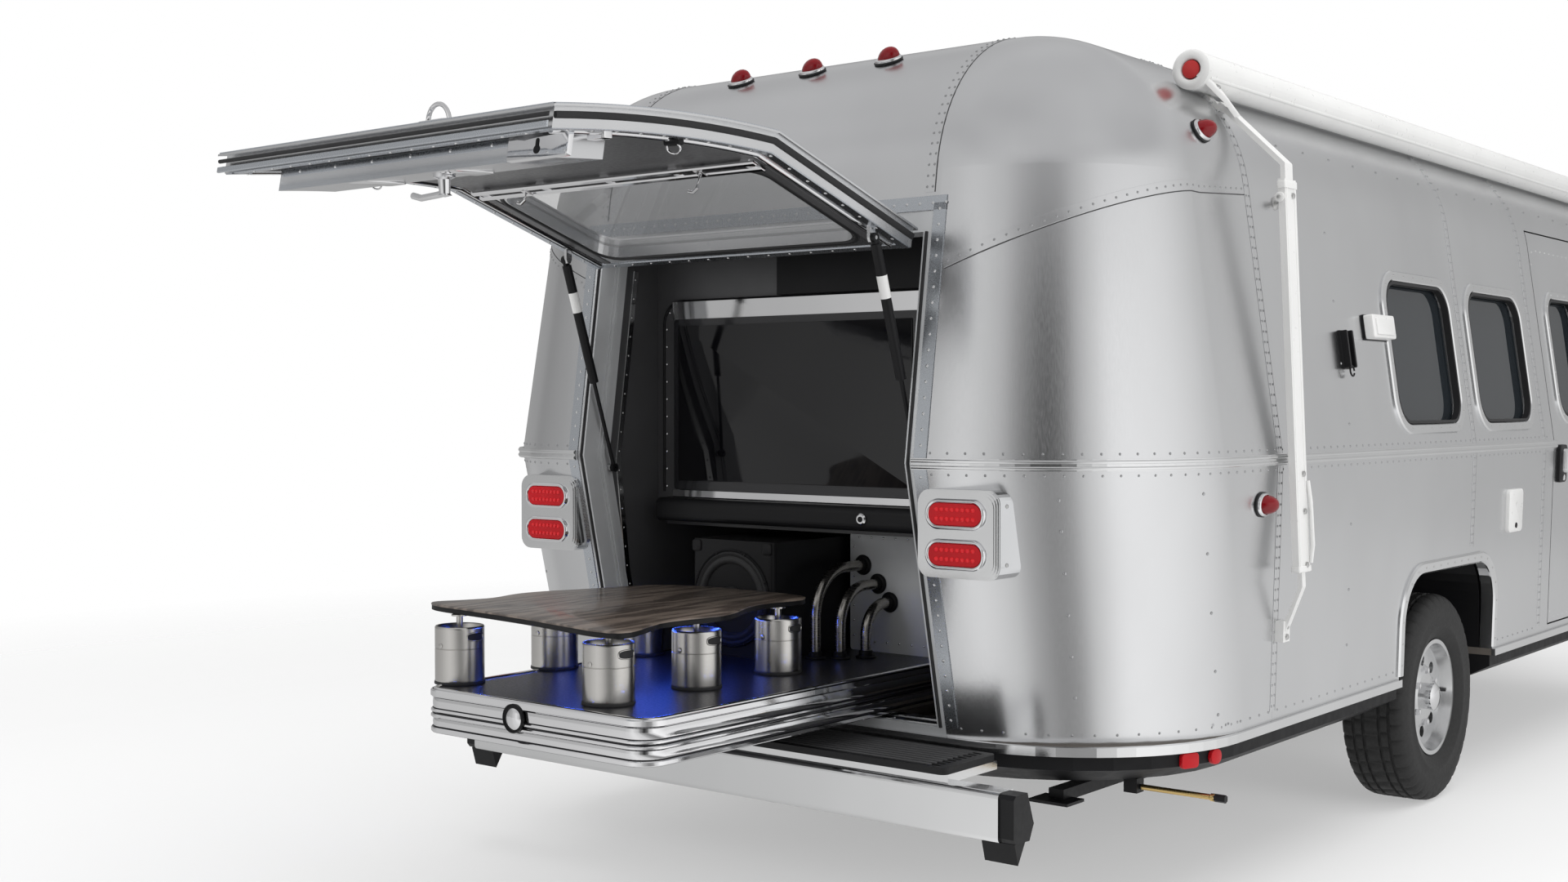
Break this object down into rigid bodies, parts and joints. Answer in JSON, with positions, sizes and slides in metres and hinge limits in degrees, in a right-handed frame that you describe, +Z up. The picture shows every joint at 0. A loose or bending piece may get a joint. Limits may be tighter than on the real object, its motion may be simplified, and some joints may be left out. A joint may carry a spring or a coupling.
{
  "type": "travel trailer with a slide-out bar",
  "caption": "Round-ended riveted aluminium travel trailer whose open rear hatch shows a slide-out bar deck with kegs, a slab table and a television.",
  "frame": {"origin": "on the ground, in the middle of the trailer's length with its hatch open and of its width", "axes": "+X to the kerb side, +Y forwards to the hitch, +Z up"},
  "size_m": [2.5413, 7.9599, 2.4132],
  "materials": {
    "polished_aluminium": "satin polish, riveted",
    "bright_trim": "bright polish",
    "black_steel": "satin black paint",
    "belly_black": "matt black",
    "plywood": "plain",
    "tinted_glass": "dark tint",
    "step_rubber": "ribbed",
    "red_lens": "clear red moulding",
    "zinc": "plated",
    "awning_white": "satin white",
    "dark_panel": "satin dark grey",
    "gloss_black": "gloss",
    "tyre_rubber": "matt",
    "rim_alloy": "machined",
    "stainless": "brushed",
    "chrome": "mirror",
    "wood_slab": "oiled, dark live edge"
  },
  "bodies": {
    "trailer": {"chassis": "black_steel", "floor": "plywood", "belly_pan": "belly_black", "side_wall_right": "polished_aluminium", "side_wall_left": "polished_aluminium", "roof": "polished_aluminium", "rear_corner_right": "polished_aluminium", "rear_corner_left": "polished_aluminium", "rear_upper": "polished_aluminium", "rear_dome": "polished_aluminium", "front_lower": "polished_aluminium", "front_upper": "polished_aluminium", "front_dome": "polished_aluminium", "trim_rails": "bright_trim", "hatch_frame": "bright_trim", "window_panes": "tinted_glass", "wheel_wells": "black_steel", "axle": "black_steel", "rear_bumper": "bright_trim", "bumper_caps": "black_steel", "step_pad": "step_rubber", "tail_lamp_housings": "bright_trim", "tail_lenses": "red_lens", "marker_lamps": "red_lens", "coupler": "black_steel", "jack_tube": "bright_trim", "gas_bottle_cover": "polished_aluminium", "stabiliser_mounts": "black_steel", "awning_roller": "awning_white", "awning_arms": "awning_white", "tv_wall": "dark_panel", "television": "gloss_black", "shelf": "dark_panel", "bar_compartment": "dark_panel", "deck_runners": "zinc"},
    "wheel_right": {"tyre_right": "tyre_rubber", "rim_right": "rim_alloy"},
    "wheel_left": {"tyre_left": "tyre_rubber", "rim_left": "rim_alloy"},
    "hatch": {"hatch_panel": "polished_aluminium", "hatch_window": "tinted_glass", "hatch_latch_box": "polished_aluminium"},
    "strut_tube_r": {"strut_tube_right": "gloss_black"},
    "strut_tube_l": {"strut_tube_left": "gloss_black"},
    "strut_rod_r": {"strut_rod_right": "zinc"},
    "strut_rod_l": {"strut_rod_left": "zinc"},
    "slide_out_bar": {"bar_deck": "gloss_black", "kegs": "stainless", "table_top": "wood_slab", "subwoofer": "gloss_black", "tap_pipes": "chrome", "splash_panel": "polished_aluminium"},
    "door": {"entry_door": "polished_aluminium", "door_glass": "tinted_glass"},
    "stabiliser_r": {"stabiliser_leg_right": "black_steel"},
    "stabiliser_l": {"stabiliser_leg_left": "black_steel"},
    "jack": {"jack_leg": "zinc"}
  },
  "joints": [
    {"name": "wheel_right_spin", "type": "hinge", "parent": "trailer", "child": "wheel_right", "pos_m": [1.062, -0.31848, 0.358], "axis": [1, 0, 0], "continuous": true},
    {"name": "wheel_left_spin", "type": "hinge", "parent": "trailer", "child": "wheel_left", "pos_m": [-1.062, -0.31848, 0.358], "axis": [1, 0, 0], "continuous": true},
    {"name": "hatch_hinge", "type": "hinge", "parent": "trailer", "child": "hatch", "pos_m": [0, -2.64534, 1.84], "axis": [1, 0, 0], "range_deg": [0, 100]},
    {"name": "strut_right_pivot", "type": "hinge", "parent": "hatch", "child": "strut_tube_r", "pos_m": [0.57, -2.81848, 1.805], "axis": [1, 0, 0], "range_deg": [-122.93, 0]},
    {"name": "strut_right_slide", "type": "slide", "parent": "strut_tube_r", "child": "strut_rod_r", "axis": [0, -0.3117, 0.9502], "range_m": [0, 0.1631]},
    {"name": "strut_left_pivot", "type": "hinge", "parent": "hatch", "child": "strut_tube_l", "pos_m": [-0.57, -2.81848, 1.805], "axis": [1, 0, 0], "range_deg": [-122.93, 0]},
    {"name": "strut_left_slide", "type": "slide", "parent": "strut_tube_l", "child": "strut_rod_l", "axis": [0, -0.3117, 0.9502], "range_m": [0, 0.1631]},
    {"name": "bar_slide", "type": "slide", "parent": "trailer", "child": "slide_out_bar", "axis": [0, 1, 0], "range_m": [0, 1.069]},
    {"name": "door_hinge", "type": "hinge", "parent": "trailer", "child": "door", "pos_m": [1.234, 1.49452, 0.7], "axis": [0, 0, 1], "range_deg": [0, 100]},
    {"name": "stabiliser_right_swing", "type": "hinge", "parent": "trailer", "child": "stabiliser_r", "pos_m": [0.86, -1.91848, 0.328], "axis": [1, 0, 0], "range_deg": [0, 37]},
    {"name": "stabiliser_left_swing", "type": "hinge", "parent": "trailer", "child": "stabiliser_l", "pos_m": [-0.86, -1.91848, 0.328], "axis": [1, 0, 0], "range_deg": [0, 37]},
    {"name": "jack_slide", "type": "slide", "parent": "trailer", "child": "jack", "axis": [0, 0, 1], "range_m": [0, 0.13]}
  ],
  "couplings": [
    {"joint": "strut_right_pivot", "follows": "hatch_hinge", "ratio": -1.2193},
    {"joint": "strut_right_slide", "follows": "hatch_hinge", "m_per_rad": 0.092311},
    {"joint": "strut_left_pivot", "follows": "hatch_hinge", "ratio": -1.2193},
    {"joint": "strut_left_slide", "follows": "hatch_hinge", "m_per_rad": 0.092311},
    {"joint": "bar_slide", "follows": "hatch_hinge", "m_per_rad": 0.61135}
  ]
}
